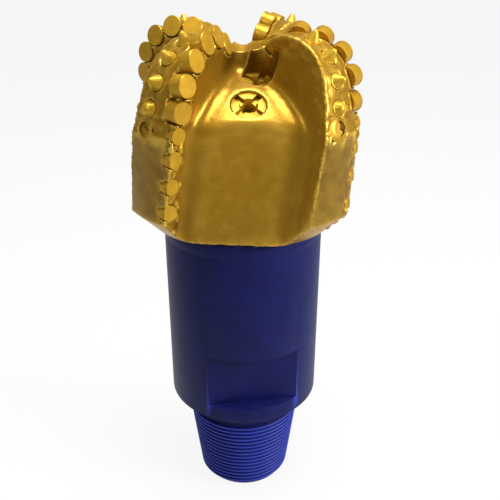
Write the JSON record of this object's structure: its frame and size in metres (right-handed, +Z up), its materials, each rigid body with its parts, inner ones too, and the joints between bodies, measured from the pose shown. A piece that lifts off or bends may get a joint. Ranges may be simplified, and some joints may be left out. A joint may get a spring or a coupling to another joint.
{
  "type": "pdc drill bit",
  "caption": "Fixed-cutter matrix drill bit with spiral blades, round brazed cutters, gauge pads and nozzles over a blue shank with breaker flats and a tapered pin.",
  "frame": {"origin": "centre of the pin's end face, on the bit's axis", "axes": "+Z up along the bit's axis from the pin to the crown; -Y faces the junk slot with the two nozzles"},
  "size_m": [0.1919, 0.1916, 0.4672],
  "materials": {
    "crown_gold": "satin metallic gold paint over a cast surface",
    "cutter_gold": "gold paint over smooth carbide and diamond",
    "trimmer_gold": "gold paint over smooth carbide",
    "cone_gold": "gold paint over smooth carbide",
    "disc_gold": "gold paint over smooth carbide",
    "nozzle_gold": "gold paint over smooth carbide",
    "shank_blue": "semi-gloss navy blue paint over turned steel",
    "weld_blue": "navy blue paint over a ground weld",
    "blank_steel": "turned steel, its open band painted navy blue",
    "seal_rubber": "black nitrile rubber"
  },
  "bodies": {
    "root": {"crown": "crown_gold", "steel_blank": "blank_steel", "shank": "shank_blue", "weld_bead": "weld_blue", "cutters_blade_1": "cutter_gold", "gauge_trimmers_blade_1": "trimmer_gold", "backup_cones_blade_1": "cone_gold", "gauge_disc_blade_1": "disc_gold", "cutters_blade_2": "cutter_gold", "gauge_trimmers_blade_2": "trimmer_gold", "backup_cones_blade_2": "cone_gold", "gauge_disc_blade_2": "disc_gold", "cutters_blade_3": "cutter_gold", "gauge_trimmers_blade_3": "trimmer_gold", "backup_cones_blade_3": "cone_gold", "gauge_disc_blade_3": "disc_gold", "cutters_blade_4": "cutter_gold", "gauge_trimmers_blade_4": "trimmer_gold", "backup_cones_blade_4": "cone_gold", "gauge_disc_blade_4": "disc_gold", "nozzle_1": "nozzle_gold", "nozzle_seal_1": "seal_rubber", "nozzle_2": "nozzle_gold", "nozzle_seal_2": "seal_rubber", "nozzle_3": "nozzle_gold", "nozzle_seal_3": "seal_rubber", "nozzle_4": "nozzle_gold", "nozzle_seal_4": "seal_rubber", "nozzle_5": "nozzle_gold", "nozzle_seal_5": "seal_rubber", "nozzle_6": "nozzle_gold", "nozzle_seal_6": "seal_rubber"}
  },
  "joints": []
}
